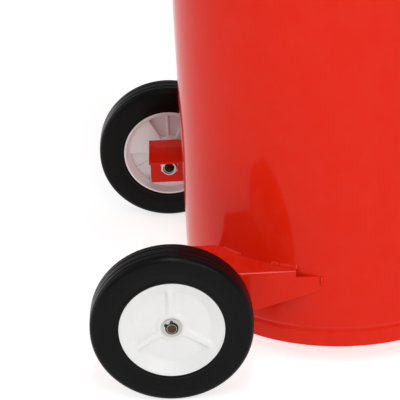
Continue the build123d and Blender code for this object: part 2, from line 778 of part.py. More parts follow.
prop_plane = side_plane(1, PROP_X, y=PROP_Y, z=PROP_Z)
link_plane = prop_plane.offset(PROP_THICK)
with BuildPart() as prop_arm:
    with BuildSketch(prop_plane):
        with Locations((-ARM_END / 2, 0)):
            SlotCenterToCenter(ARM_END, PROP_WIDTH)
        Circle(4 + RUN_FIT, mode=Mode.SUBTRACT)
        with Locations(*[(along, 0) for along in RIVETS[:2]]):
            Circle(RIVET_R, mode=Mode.SUBTRACT)
    extrude(amount=PROP_THICK)
write(prop_arm.part, "prop_arm")

with BuildPart() as prop_tip:
    with BuildSketch(prop_plane):
        with Locations((-(TIP_START + PROP_LENGTH) / 2, 0)):
            SlotCenterToCenter(PROP_LENGTH - TIP_START, PROP_WIDTH)
        with Locations(*[(along, 0) for along in RIVETS[2:]]):
            Circle(RIVET_R, mode=Mode.SUBTRACT)
        with Locations((-PROP_LENGTH + 1, 0)):
            Circle(4.2, mode=Mode.SUBTRACT)
        with Locations((-PROP_LENGTH - 3, 4)):
            Rectangle(8.4, 12, mode=Mode.SUBTRACT)
    extrude(amount=PROP_THICK)
write(prop_tip.part, "prop_tip")

with BuildPart() as fusible_link:
    with BuildSketch(link_plane):
        with Locations((-(ARM_END + TIP_START) / 2, 0)):
            RectangleRounded(48, 11, 3)
        with Locations(*[(along, 0) for along in RIVETS]):
            Circle(RIVET_R, mode=Mode.SUBTRACT)
    extrude(amount=1.5)
write(fusible_link.part, "fusible_link")

with BuildPart() as link_rivets:
    with BuildSketch(prop_plane):
        with Locations(*[(along, 0) for along in RIVETS]):
            Circle(RIVET_R)
    extrude(amount=PROP_THICK + 1.5)
    with BuildSketch(link_plane.offset(1.5)):
        with Locations(*[(along, 0) for along in RIVETS]):
            Circle(3.2)
    extrude(amount=1.2, taper=20)
write(link_rivets.part, "link_rivets")

# ---- basket -----------------------------------------------------------------------------------
with BuildPart() as basket:
    with BuildSketch(Plane.XZ):
        with BuildLine():
            shape = FilletPolyline(
                (0, BASKET_FLOOR_Z),
                (BASKET_R, BASKET_FLOOR_Z),
                (BASKET_R, BASKET_TOP_Z),
                radius=10,
            )
            offset(shape, amount=BASKET_SHEET, side=Side.LEFT)
        make_face()
    revolve(axis=TANK_AXIS)
    with BuildSketch(Plane.XY.offset(BASKET_FLOOR_Z)):
        for ring_r, count in FLOOR_RINGS.items():
            with PolarLocations(ring_r, count):
                Circle(HOLE_R)
    extrude(amount=BASKET_SHEET, mode=Mode.SUBTRACT)
    for half_turn in range(SIDE_HOLES // 2):
        direction = Vector(1, 0, 0).rotate(TANK_AXIS, (half_turn + 0.5) * 360 / SIDE_HOLES)
        with BuildSketch(Plane(origin=(0, 0, BASKET_FLOOR_Z), x_dir=(0, 0, 1), z_dir=direction)):
            with Locations(*[(rise, 0) for rise in SIDE_ROWS]):
                Circle(HOLE_R)
        extrude(amount=BASKET_R + 5, both=True, mode=Mode.SUBTRACT)
write(basket.part, "basket")

rim_wire_r = BASKET_R + 1.0
ear_x = 189.5
with BuildPart() as basket_rim:
    with BuildSketch(Plane.XZ):
        with Locations((rim_wire_r, BASKET_TOP_Z)):
            Circle(4)
    revolve(axis=TANK_AXIS)
    for side in SIDES.values():
        with BuildSketch(side_plane(side, ear_x, y=0, z=BAIL_Z)):
            RectangleRounded(18, 16, 5)
            Circle(BAIL_WIRE_R + RUN_FIT, mode=Mode.SUBTRACT)
        extrude(amount=3)
    with BuildSketch(Plane.XZ):
        with Locations((BASKET_R - BASKET_SHEET / 2, BASKET_TOP_Z - 10)):
            Rectangle(BASKET_SHEET, 20)
    revolve(axis=TANK_AXIS, mode=Mode.SUBTRACT)
write(basket_rim.part, "basket_rim")

with BuildPart() as basket_bail:
    with BuildLine(Plane.XY.offset(BAIL_Z)):
        FilletPolyline((-198, 0), (-178, 0), (-178, -60), radius=6)
        mirror(about=Plane.YZ)
        ThreePointArc((-178, -60), (0, -186), (178, -60))
    with BuildSketch(Plane(origin=(-198, 0, BAIL_Z), z_dir=(1, 0, 0))):
        Circle(BAIL_WIRE_R)
    sweep()
write(basket_bail.part, "basket_bail")
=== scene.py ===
"""Looks of the parts washer tank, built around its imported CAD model.

Metres, +Z up. The origin is on the floor under the tank's axis, the wheels are at the rear
(+Y) and the drain is at the front (-Y).
"""

import json
import math

import bmesh
import bpy
from mathutils import Matrix, Vector


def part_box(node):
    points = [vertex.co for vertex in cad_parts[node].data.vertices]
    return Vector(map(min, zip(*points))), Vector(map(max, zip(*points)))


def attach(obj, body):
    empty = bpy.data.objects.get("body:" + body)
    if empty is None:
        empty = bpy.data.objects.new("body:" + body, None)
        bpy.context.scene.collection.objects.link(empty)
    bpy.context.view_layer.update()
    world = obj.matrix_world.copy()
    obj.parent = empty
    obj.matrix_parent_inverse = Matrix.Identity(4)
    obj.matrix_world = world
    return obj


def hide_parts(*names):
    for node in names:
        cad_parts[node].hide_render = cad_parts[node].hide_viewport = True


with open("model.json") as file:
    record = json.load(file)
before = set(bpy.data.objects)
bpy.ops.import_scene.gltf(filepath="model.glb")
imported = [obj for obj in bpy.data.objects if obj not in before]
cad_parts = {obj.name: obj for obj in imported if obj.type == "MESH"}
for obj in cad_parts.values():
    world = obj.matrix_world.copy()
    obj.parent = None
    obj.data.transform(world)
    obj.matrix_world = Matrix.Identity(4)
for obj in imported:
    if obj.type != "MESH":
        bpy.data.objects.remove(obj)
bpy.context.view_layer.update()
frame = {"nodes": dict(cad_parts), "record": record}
cad_nodes = frame["nodes"]

# ---- sizes, read from the frame ---------------------------------------------------------------
SHELL_LOW, SHELL_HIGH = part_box("tank_shell")
SIDES = {"left": -1, "right": 1}


# ---- shader effects ---------------------------------------------------------------------------
def new_group(name, inputs, outputs):
    """An empty shader node group with float inputs, given as {name: default}."""
    group = bpy.data.node_groups.new(name, "ShaderNodeTree")
    for label, value in inputs.items():
        socket = group.interface.new_socket(
            name=label, in_out="INPUT", socket_type="NodeSocketFloat"
        )
        socket.default_value = value
    for label, kind in outputs.items():
        group.interface.new_socket(name=label, in_out="OUTPUT", socket_type=kind)
    return group, group.nodes.new("NodeGroupInput"), group.nodes.new("NodeGroupOutput")


def math_node(tree, operation, first, second=None, clamp=False):
    """A Math node; each operand is a number or a socket."""
    node = tree.nodes.new("ShaderNodeMath")
    node.operation = operation
    node.use_clamp = clamp
    for socket, operand in zip(node.inputs, (first, second)):
        if operand is None:
            continue
        if isinstance(operand, (int, float)):
            socket.default_value = operand
        else:
            tree.links.new(operand, socket)
    return node.outputs[0]


def noise_node(tree, vector, scale, detail=3.0, roughness=0.5):
    """A Noise Texture on a vector; its scale is a number or a socket."""
    node = tree.nodes.new("ShaderNodeTexNoise")
    node.inputs["Detail"].default_value = detail
    node.inputs["Roughness"].default_value = roughness
    tree.links.new(vector, node.inputs["Vector"])
    if isinstance(scale, (int, float)):
        node.inputs["Scale"].default_value = scale
    else:
        tree.links.new(scale, node.inputs["Scale"])
    return node.outputs["Fac"]


def remap(tree, value, low, high):
    """Stretches a value so that low becomes 0 and high becomes 1, clamped."""
    node = tree.nodes.new("ShaderNodeMapRange")
    node.clamp = True
    node.inputs["From Min"].default_value = low
    node.inputs["From Max"].default_value = high
    tree.links.new(value, node.inputs["Value"])
    return node.outputs["Result"]


def object_coordinates(tree):
    return tree.nodes.new("ShaderNodeTexCoord").outputs["Object"]


def make_surface_grain():
    """Broad patches, a fine grain and the height of both, for mottled or slightly rough skins."""
    group, inlet, outlet = new_group(
        "surface_grain",
        {"Patch Scale": 9.0, "Grain Scale": 500.0},
        {"Patches": "NodeSocketFloat", "Grain": "NodeSocketFloat", "Height": "NodeSocketFloat"},
    )
    place = object_coordinates(group)
    patches = noise_node(group, place, inlet.outputs["Patch Scale"], 4.0, 0.55)
    grain = noise_node(group, place, inlet.outputs["Grain Scale"], 2.0, 0.6)
    group.links.new(remap(group, patches, 0.3, 0.7), outlet.inputs["Patches"])
    group.links.new(grain, outlet.inputs["Grain"])
    height = math_node(group, "ADD", grain, math_node(group, "MULTIPLY", patches, 0.4))
    group.links.new(height, outlet.inputs["Height"])
    return group


def make_edge_wear():
    """A mask of worn outer edges, broken up by noise."""
    group, inlet, outlet = new_group(
        "edge_wear", {"Width": 0.0015, "Amount": 0.5}, {"Mask": "NodeSocketFloat"}
    )
    rounded = group.nodes.new("ShaderNodeBevel")
    rounded.samples = 6
    group.links.new(inlet.outputs["Width"], rounded.inputs["Radius"])
    geometry = group.nodes.new("ShaderNodeNewGeometry")
    dot = group.nodes.new("ShaderNodeVectorMath")
    dot.operation = "DOT_PRODUCT"
    group.links.new(rounded.outputs["Normal"], dot.inputs[0])
    group.links.new(geometry.outputs["Normal"], dot.inputs[1])
    bend = math_node(group, "SUBTRACT", 1.0, dot.outputs["Value"])
    breaks = noise_node(group, object_coordinates(group), 140.0, 5.0, 0.65)
    edge = math_node(
        group, "MULTIPLY", remap(group, bend, 0.02, 0.12), remap(group, breaks, 0.42, 0.62)
    )
    mask = math_node(group, "MULTIPLY", edge, inlet.outputs["Amount"], clamp=True)
    group.links.new(mask, outlet.inputs["Mask"])
    return group


def make_dust():
    """A mask of settled dust: more on faces that look up, and patchy."""
    group, inlet, outlet = new_group(
        "dust", {"Amount": 0.3, "Scale": 60.0}, {"Mask": "NodeSocketFloat"}
    )
    geometry = group.nodes.new("ShaderNodeNewGeometry")
    parts = group.nodes.new("ShaderNodeSeparateXYZ")
    group.links.new(geometry.outputs["Normal"], parts.inputs[0])
    facing_up = math_node(group, "ADD", remap(group, parts.outputs["Z"], -0.2, 1.0), 0.35)
    cloud = noise_node(group, object_coordinates(group), inlet.outputs["Scale"], 6.0, 0.7)
    spread = math_node(group, "MULTIPLY", facing_up, remap(group, cloud, 0.4, 0.75))
    mask = math_node(group, "MULTIPLY", spread, inlet.outputs["Amount"], clamp=True)
    group.links.new(mask, outlet.inputs["Mask"])
    return group


def make_brushing():
    """Fine lines along one axis, as on drawn, rolled or brushed metal."""
    group, inlet, outlet = new_group(
        "brushing", {"Fine": 900.0, "Along": 12.0}, {"Lines": "NodeSocketFloat"}
    )
    mapping = group.nodes.new("ShaderNodeMapping")
    group.links.new(object_coordinates(group), mapping.inputs["Vector"])
    scale = group.nodes.new("ShaderNodeCombineXYZ")
    group.links.new(inlet.outputs["Along"], scale.inputs["X"])
    group.links.new(inlet.outputs["Fine"], scale.inputs["Y"])
    group.links.new(inlet.outputs["Fine"], scale.inputs["Z"])
    group.links.new(scale.outputs[0], mapping.inputs["Scale"])
    group.links.new(noise_node(group, mapping.outputs[0], 1.0, 2.0, 0.5), outlet.inputs["Lines"])
    return group


EFFECTS = {
    "surface_grain": make_surface_grain(),
    "edge_wear": make_edge_wear(),
    "dust": make_dust(),
    "brushing": make_brushing(),
}


# ---- materials --------------------------------------------------------------------------------
def rgb(red, green, blue):
    """A display colour, 0 to 255, as the linear colour that shaders use."""
    def linear(level):
        level /= 255
        return level / 12.92 if level <= 0.04045 else ((level + 0.055) / 1.055) ** 2.4
    return (linear(red), linear(green), linear(blue), 1.0)


def place_effect(tree, name, **values):
    """Puts a shared effect in a material; underscores in the names stand for spaces."""
    node = tree.nodes.new("ShaderNodeGroup")
    node.node_tree = EFFECTS[name]
    for label, value in values.items():
        node.inputs[label.replace("_", " ")].default_value = value
    return node


def mix_colours(tree, factor, first, second):
    """Mixes two colours; each is a colour or a socket."""
    node = tree.nodes.new("ShaderNodeMix")
    node.data_type = "RGBA"
    tree.links.new(factor, node.inputs["Factor"])
    for label, colour in (("A", first), ("B", second)):
        socket = [s for s in node.inputs if s.name == label and s.type == "RGBA"][0]
        if isinstance(colour, tuple):
            socket.default_value = colour
        else:
            tree.links.new(colour, socket)
    return [s for s in node.outputs if s.type == "RGBA"][0]


def scale_between(tree, factor, low, high):
    """A value that runs from low to high as the factor runs from 0 to 1."""
    node = tree.nodes.new("ShaderNodeMapRange")
    node.inputs["To Min"].default_value = low
    node.inputs["To Max"].default_value = high
    tree.links.new(factor, node.inputs["Value"])
    return node.outputs["Result"]


def new_material(name, **constants):
    """A material with its Principled shader; the constants are set on the shader's sockets."""
    material = bpy.data.materials.new(name)
    material.use_nodes = True
    shader = material.node_tree.nodes["Principled BSDF"]
    for label, value in constants.items():
        shader.inputs[label.replace("_", " ")].default_value = value
    return material, material.node_tree, shader


def bump(tree, shader, height, strength, distance):
    """Roughens the shader's surface with a height."""
    node = tree.nodes.new("ShaderNodeBump")
    node.inputs["Strength"].default_value = strength
    node.inputs["Distance"].default_value = distance
    tree.links.new(height, node.inputs["Height"])
    tree.links.new(node.outputs["Normal"], shader.inputs["Normal"])


def painted_steel(name, colour, shade, bare, roughness, wear):
    """Sprayed enamel over sheet steel: faint orange peel, patches of tone, rubbed edges, dust."""
    material, tree, shader = new_material(name, Specular_IOR_Level=0.12)
    grain = place_effect(tree, "surface_grain", Patch_Scale=3.0, Grain_Scale=300.0)
    worn = place_effect(tree, "edge_wear", Width=0.0008, Amount=wear)
    dust = place_effect(tree, "dust", Amount=0.03, Scale=30.0)
    paint = mix_colours(tree, grain.outputs["Patches"], colour, shade)
    dusty = mix_colours(tree, dust.outputs["Mask"], paint, rgb(190, 170, 160))
    skin = mix_colours(tree, worn.outputs["Mask"], dusty, bare)
    tree.links.new(skin, shader.inputs["Base Color"])
    gloss = scale_between(tree, grain.outputs["Patches"], roughness, roughness + 0.03)
    tree.links.new(gloss, shader.inputs["Roughness"])
    bump(tree, shader, grain.outputs["Grain"], 0.04, 0.0001)
    return material


def moulded_plastic(name, colour, shade, roughness, dirt):
    """Moulded plastic with a faint flow pattern, a fine grain and grime on its ledges."""
    material, tree, shader = new_material(name, IOR=1.46)
    grain = place_effect(tree, "surface_grain", Patch_Scale=24.0, Grain_Scale=1400.0)
    worn = place_effect(tree, "edge_wear", Width=0.0008, Amount=0.25)
    dust = place_effect(tree, "dust", Amount=dirt, Scale=110.0)
    tone = mix_colours(tree, grain.outputs["Patches"], colour, shade)
    scuffed = mix_colours(tree, worn.outputs["Mask"], tone, shade)
    skin = mix_colours(tree, dust.outputs["Mask"], scuffed, rgb(150, 140, 128))
    tree.links.new(skin, shader.inputs["Base Color"])
    gloss = scale_between(tree, grain.outputs["Grain"], roughness - 0.05, roughness + 0.08)
    tree.links.new(gloss, shader.inputs["Roughness"])
    bump(tree, shader, grain.outputs["Height"], 0.08, 0.0002)
    return material


def vulcanised_rubber(name, colour, bloom, roughness, dusting):
    """Black rubber with a grey bloom, scuffed edges and dust in patches."""
    material, tree, shader = new_material(name, Specular_IOR_Level=0.10)
    grain = place_effect(tree, "surface_grain", Patch_Scale=30.0, Grain_Scale=900.0)
    worn = place_effect(tree, "edge_wear", Width=0.002, Amount=0.25)
    dust = place_effect(tree, "dust", Amount=dusting, Scale=90.0)
    tone = mix_colours(tree, grain.outputs["Patches"], colour, bloom)
    scuffed = mix_colours(tree, worn.outputs["Mask"], tone, rgb(40, 39, 38))
    skin = mix_colours(tree, dust.outputs["Mask"], scuffed, rgb(44, 42, 40))
    tree.links.new(skin, shader.inputs["Base Color"])
    gloss = scale_between(tree, grain.outputs["Patches"], roughness, roughness + 0.12)
    tree.links.new(gloss, shader.inputs["Roughness"])
    bump(tree, shader, grain.outputs["Height"], 0.12, 0.0002)
    return material


def plated_metal(name, colour, stain, roughness, tarnish):
    """Plated or bare metal: drawn lines, cloudy passivation and dulled patches."""
    material, tree, shader = new_material(name, Metallic=1.0)
    grain = place_effect(tree, "surface_grain", Patch_Scale=70.0, Grain_Scale=1800.0)
    lines = place_effect(tree, "brushing", Fine=1400.0, Along=60.0)
    dust = place_effect(tree, "dust", Amount=tarnish, Scale=200.0)
    tone = mix_colours(tree, grain.outputs["Patches"], colour, stain)
    skin = mix_colours(tree, dust.outputs["Mask"], tone, rgb(88, 74, 60))
    tree.links.new(skin, shader.inputs["Base Color"])
    both = math_node(tree, "ADD", grain.outputs["Grain"], lines.outputs["Lines"])
    uneven = math_node(tree, "MULTIPLY", both, 0.5)
    gloss = scale_between(tree, uneven, roughness - 0.08, roughness + 0.12)
    tree.links.new(gloss, shader.inputs["Roughness"])
    bump(tree, shader, lines.outputs["Lines"], 0.10, 0.0001)
    return material


MATERIALS = {
    "red_paint": painted_steel(
        "red_enamel", rgb(212, 31, 7), rgb(209, 29, 7), rgb(160, 24, 14), 0.11, 0.35
    ),
    "black_steel": painted_steel(
        "black_enamel", rgb(24, 24, 25), rgb(19, 19, 20), rgb(92, 90, 88), 0.34, 0.6
    ),
    "white_plastic": moulded_plastic(
        "white_nylon", rgb(224, 224, 224), rgb(220, 220, 219), 0.34, 0.05
    ),
    "red_plastic": moulded_plastic("red_vinyl", rgb(176, 22, 18), rgb(160, 18, 15), 0.42, 0.15),
    "nylon": moulded_plastic("natural_nylon", rgb(226, 224, 214), rgb(214, 211, 198), 0.40, 0.15),
    "tyre_rubber": vulcanised_rubber("tyre_rubber", rgb(8, 8, 8), rgb(10, 10, 10), 0.27, 0.06),
    "black_rubber": vulcanised_rubber("soft_rubber", rgb(20, 20, 20), rgb(26, 26, 25), 0.50, 0.12),
    "zinc": plated_metal("zinc_plate", rgb(196, 196, 192), rgb(172, 172, 164), 0.30, 0.12),
    "bare_steel": plated_metal("cut_steel", rgb(104, 78, 66), rgb(70, 52, 44), 0.48, 0.3),
    "brass": plated_metal("brass", rgb(206, 172, 104), rgb(178, 142, 78), 0.28, 0.18),
}
SLOT_OF_NODE = {part["node"]: part["material_slot"] for part in frame["record"]["subparts"]}


def dress(piece, slot):
    """Gives a piece the material of one of the record's slots."""
    piece.data.materials.clear()
    piece.data.materials.append(MATERIALS[slot])


for node_name, node in cad_nodes.items():
    dress(node, SLOT_OF_NODE[node_name])


# ---- making pieces ----------------------------------------------------------------------------
def finish_piece(name, form, slot, body, replaced=(), sharp_angle=35):
    """Closes a bmesh, shades it smooth between sharp edges and puts the piece on its body."""
    bmesh.ops.remove_doubles(form, verts=form.verts, dist=1e-6)
    bmesh.ops.recalc_face_normals(form, faces=form.faces)
    mesh = bpy.data.meshes.new(name)
    form.to_mesh(mesh)
    form.free()
    mesh.polygons.foreach_set("use_smooth", [True] * len(mesh.polygons))
    mesh.set_sharp_from_angle(angle=math.radians(sharp_angle))
    piece = bpy.data.objects.new(name, mesh)
    bpy.context.scene.collection.objects.link(piece)
    dress(piece, slot)
    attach(piece, body)
    if replaced:
        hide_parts(*replaced)
    return piece


def rounded(corners, steps=5):
    """An outline through corners given as (along, out, radius), with an arc at each radius."""
    points = []
    for index, (along, out, radius) in enumerate(corners):
        corner = Vector((along, out))
        if not radius:
            points.append(corner)
            continue
        before = (Vector(corners[index - 1][:2]) - corner).normalized()
        after = (Vector(corners[(index + 1) % len(corners)][:2]) - corner).normalized()
        half = before.angle(after) / 2
        centre = corner + (before + after).normalized() * (radius / math.sin(half))
        reach = radius / math.tan(half)
        start, end = corner + before * reach - centre, corner + after * reach - centre
        sweep = start.angle_signed(end)
        for step in range(steps + 1):
            points.append(centre + Matrix.Rotation(-sweep * step / steps, 2) @ start)
    return points


def divided(points, longest):
    """Adds points so that no side of the closed outline is longer than a length."""
    fuller = []
    for here, there in zip(points, points[1:] + points[:1]):
        parts = max(1, math.ceil((there - here).length / longest))
        fuller += [here.lerp(there, part / parts) for part in range(parts)]
    return fuller


def spun(outline, centre, axis, out, steps):
    """A closed outline of (along, out) points turned about an axis into a ring."""
    form = bmesh.new()
    ring = [form.verts.new(centre + axis * along + out * reach) for along, reach in outline]
    sides = [form.edges.new(pair) for pair in zip(ring, ring[1:] + ring[:1])]
    bmesh.ops.spin(
        form, geom=ring + sides, cent=centre, axis=axis, angle=math.tau, steps=steps, use_merge=True
    )
    return form


def smooth_step(value, low, high):
    """Eases from 0 at the low value to 1 at the high one."""
    share = min(1.0, max(0.0, (value - low) / (high - low)))
    return share * share * (3 - 2 * share)


X_AXIS, Y_AXIS, Z_AXIS = Vector((1, 0, 0)), Vector((0, 1, 0)), Vector((0, 0, 1))


# ---- tank body --------------------------------------------------------------------------------
SHELL_R = 0.206
SHEET = 0.0015
RIM_R = 0.005
BEAD_Z = SHELL_LOW.z + 0.025
FLANGE_X = 0.203           # outer face of a wheel bracket's flange
TONGUE_BEAD_Z = (0.1165, 0.1280)
BRACKET_BEADS = (          # from Y, to Y, width
    (0.0700, 0.0740, 0.0095),
    (0.0765, 0.0880, 0.0080),
    (0.0935, 0.0970, 0.0092),
    (0.1380, 0.1570, 0.0080),
)


def make_tank_shell():
    """Rolled shell with its wired rim and the bead pressed in over the bottom's flange."""
    foot, rim_z = SHELL_LOW.z, SHELL_HIGH.z - RIM_R
    inner = SHELL_R - SHEET
    dip, half = 0.0012, 0.0042
    rim_r = inner + RIM_R
    corners = [
        (foot, inner, 0),
        (foot, SHELL_R, 0.0005),
        (BEAD_Z - 3 * half, SHELL_R, 0),
        (BEAD_Z - half, SHELL_R, 0.0016),
        (BEAD_Z, SHELL_R - 1.35 * dip, 0.0028),
        (BEAD_Z + half, SHELL_R, 0.0016),
        (BEAD_Z + 3 * half, SHELL_R, 0),
    ]
    for step in range(17):
        turn = math.radians(-75 + 255 * step / 16)
        corners.append((rim_z + RIM_R * math.sin(turn), rim_r + RIM_R * math.cos(turn), 0))
    corners += [(BEAD_Z + half, inner, 0), (BEAD_Z, inner - dip, 0), (BEAD_Z - half, inner, 0)]
    outline = rounded(corners)
    form = spun(outline, Vector(), Z_AXIS, X_AXIS, 256)
    finish_piece("tank_shell_skin", form, "red_paint", "tank", ["tank_shell"], 40)


def weld_bead(form, path, width, height_axis):
    """Overlapping weld scallops laid along a path, each a low round drop."""
    pitch = width * 0.42
    for start, end in zip(path, path[1:]):
        run = end - start
        count = max(1, round(run.length / pitch))
        along = run.normalized()
        side = height_axis.cross(along).normalized()
        turn = Matrix((along, side, height_axis)).transposed().to_4x4()
        for index in range(count):
            place = start + run * (index + 0.5) / count
            wobble = 1 + 0.10 * math.sin(index * 2.4)
            size = Matrix.Diagonal((width * 0.46, width * 0.5 * wobble, width * 0.42, 1))
            bmesh.ops.create_icosphere(
                form, subdivisions=2, radius=1, matrix=Matrix.Translation(place) @ turn @ size
            )


def around_tank(side, from_y, to_y, z):
    """Points on the shell's surface at one height, from one Y to another."""
    points = []
    steps = 10
    for step in range(steps + 1):
        y = from_y + (to_y - from_y) * step / steps
        points.append(Vector((side * math.sqrt(SHELL_R ** 2 - y ** 2), y, z)))
    return points


def make_bracket_welds():
    """Each bracket's beads: along its top plate and down the end of its tongue."""
    for name, side in SIDES.items():
        low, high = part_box(f"{name}_wheel_bracket")
        top = high.z
        outward = Vector((side * 0.75, -0.1, 0.65)).normalized()
        form = bmesh.new()
        for start, end, width in BRACKET_BEADS:
            weld_bead(form, around_tank(side, start, end, top + 0.0008), width, outward)
        tongue_x = side * (FLANGE_X + 0.0004)
        tongue = [Vector((tongue_x, low.y + 0.003, z)) for z in TONGUE_BEAD_Z]
        weld_bead(form, tongue, 0.0050, Vector((side, -0.25, 0)).normalized())
        finish_piece(f"{name}_bracket_welds", form, "red_paint", "tank", (), 60)


def ring_on_tank(centre_x, centre_z, radius, facing):
    """Points where a round fitting that points along Y meets the shell."""
    points = []
    for step in range(25):
        turn = math.tau * step / 24
        x = centre_x + radius * math.cos(turn)
        z = centre_z + radius * math.sin(turn)
        points.append(Vector((x, facing * math.sqrt(SHELL_R ** 2 - x ** 2), z)))
    return points


def make_fitting_welds():
    """The beads round the drain bung and the two handle sockets."""
    for node, bead in (
        ("drain_bung", "drain_bung_weld"),
        ("left_handle_socket", "left_socket_weld"),
        ("right_handle_socket", "right_socket_weld"),
    ):
        low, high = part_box(node)
        middle = (low + high) / 2
        facing = 1 if middle.y > 0 else -1
        form = bmesh.new()
        path = ring_on_tank(middle.x, middle.z, (high.z - low.z) / 2 + 0.0005, facing)
        weld_bead(form, path, 0.0046, Y_AXIS * facing)
        finish_piece(bead, form, "red_paint", "tank", (), 60)


def make_handle_grip():
    """Soft sleeve on the push handle, with moulded finger ribs and rounded ends."""
    low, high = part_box("handle_grip")
    centre = (low + high) / 2
    half, outer, bore = (high.x - low.x) / 2, (high.z - low.z) / 2, 0.0111
    plain_end, ribs = 0.010, 24
    pitch = 2 * (half - plain_end) / ribs
    valley = outer - 0.0013
    corners = [(-half, bore, 0), (-half, outer, 0.0020)]
    for rib in range(ribs):
        start = -half + plain_end + rib * pitch
        corners += [
            (start, outer, 0.0006), (start + pitch * 0.22, valley, 0.0005),
            (start + pitch * 0.50, valley, 0.0005), (start + pitch * 0.72, outer, 0.0006),
        ]
    corners += [(half, outer, 0.0020), (half, bore, 0)]
    form = spun(rounded(corners, 2), centre, X_AXIS, Z_AXIS, 64)
    finish_piece("handle_grip_sleeve", form, "black_rubber", "tank", ["handle_grip"], 50)


# ---- wheels -----------------------------------------------------------------------------------
WHEEL_R = 0.1016
TYRE_HALF = 0.022
HUB_R = 0.0656
SEAT_R = HUB_R + 0.003     # ridge that keeps the tyre on the hub
HUB_HALF = 0.01985
TREAD_GROOVES = (-0.0146, -0.0060, 0.0060, 0.0146)
RIB_ANGLES = (90, 210, 330)


def wheel_frame(name, side):
    """A wheel's middle and its outward axle direction."""
    low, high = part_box(f"{name}_tyre")
    return (low + high) / 2, X_AXIS * side


def tread_outline():
    """Across the tread from the outer shoulder to the inner one, dipping into each groove."""
    depth, half, crown = 0.0017, 0.0011, 0.0008
    points = []
    for groove in reversed(TREAD_GROOVES):
        level = WHEEL_R - crown * (groove / TYRE_HALF) ** 2
        points += [
            (groove + half, level, 0.0004),
            (groove + half * 0.5, level - depth, 0.0003),
            (groove - half * 0.5, level - depth, 0.0003),
            (groove - half, level, 0.0004),
        ]
    return points


def make_tyre(name, side):
    """Solid tyre with its rounded shoulders, grooved tread and the seat that locks on the hub."""
    middle, outward = wheel_frame(name, side)
    half = TYRE_HALF
    one_side = [
        (half - 0.0040, HUB_R, 0),
        (half - 0.0022, HUB_R + 0.0002, 0.0008),
        (half - 0.0014, HUB_R + 0.0030, 0.0010),
        (half - 0.0021, HUB_R + 0.0046, 0.0010),
        (half - 0.0004, HUB_R + 0.0140, 0.0150),
        (half, HUB_R + 0.0230, 0.0100),
        (half - 0.0008, WHEEL_R - 0.0032, 0.0072),
    ]
    shoulder = [(half - 0.0052, WHEEL_R - 0.0007, 0.0040)]
    far_side = [(-along, out, radius) for along, out, radius in reversed(one_side + shoulder)]
    seat = [
        (-0.007, HUB_R, 0), (-0.005, SEAT_R, 0), (0.005, SEAT_R, 0), (0.007, HUB_R, 0),
    ]
    outline = rounded(one_side + shoulder + tread_outline() + far_side + seat, 6)
    form = spun(outline, middle, outward, Z_AXIS, 160)
    finish_piece(f"{name}_tyre_carcass", form, "tyre_rubber", f"{name}_wheel", [f"{name}_tyre"], 50)


def off_rib(angle):
    """Degrees between an angle and the nearest of the three ribs."""
    return min(abs((angle - rib + 180) % 360 - 180) for rib in RIB_ANGLES)


def rib_share(radius, angle, half_width, soft):
    """How far a point lies on one of the three ribs, from 0 beside it to 1 on its crest."""
    nearest = off_rib(angle)
    if nearest > 89:
        return 0.0
    return 1 - smooth_step(radius * math.sin(math.radians(nearest)), half_width, half_width + soft)


def make_hub(name, side):
    """Moulded hub: dished outer face with three soft ribs, and a back with three pockets."""
    middle, outward = wheel_frame(name, side)
    half = HUB_HALF
    web, boss_face = half - 0.0100, 0.01255
    back_web, back_boss = -0.01145, -0.01955
    bore = 0.0064
    corners = [
        (boss_face, bore, 0.0003),
        (boss_face, 0.0160, 0.0018),
        (web, 0.0208, 0.0030),
        (web - 0.0004, 0.0485, 0.0060),
        (half - 0.0012, HUB_R - 0.0020, 0.0012),
        (half, HUB_R - 0.0014, 0.0004),
        (half, HUB_R, 0.0004),
        (0.007, HUB_R, 0),
        (0.005, SEAT_R, 0),
        (-0.005, SEAT_R, 0),
        (-0.007, HUB_R, 0),
        (-half, HUB_R, 0.0004),
        (-half, HUB_R - 0.0026, 0.0006),
        (back_web, 0.0575, 0.0016),
        (back_web, 0.0200, 0.0015),
        (back_boss, 0.0178, 0.0010),
        (back_boss, bore, 0.0003),
    ]
    outline = divided(rounded(corners, 4), 0.0014)
    form = spun(outline, middle, outward, Z_AXIS, 300)
    rib_face, rib_rise = boss_face - 0.0002, 0.0030
    pocket_floor = -0.0045
    side_wall = (27.0, 29.0)           # a pocket's walls: degrees off the rib, then radii
    inner_wall, outer_wall = (0.0205, 0.0225), (0.0550, 0.0572)
    for vertex in form.verts:
        away = vertex.co - middle
        along = away.dot(outward)
        radial = away - outward * along
        radius = radial.length
        angle = math.degrees(math.atan2(radial.z, radial.y * side))
        if along > web - 0.0015 and 0.0165 < radius < HUB_R - 0.003:
            crest = rib_face + rib_rise * smooth_step(radius, 0.020, 0.060)
            lift = max(0.0, crest - along) * rib_share(radius, angle, 0.0018, 0.0058)
            vertex.co += outward * lift
        if along < back_web + 0.0060 and 0.0200 < radius < 0.0580 and along > back_boss + 0.001:
            in_pocket = 1 - smooth_step(off_rib(angle), *side_wall)
            in_pocket *= smooth_step(radius, *inner_wall)
            in_pocket *= 1 - smooth_step(radius, *outer_wall)
            rib = rib_share(radius, angle, 0.0010, 0.0010)
            depth = (pocket_floor - back_web) * in_pocket * (1 - 0.35 * rib)
            vertex.co += outward * depth
    body = f"{name}_wheel"
    finish_piece(f"{name}_hub_moulding", form, "white_plastic", body, [f"{name}_hub"], 50)


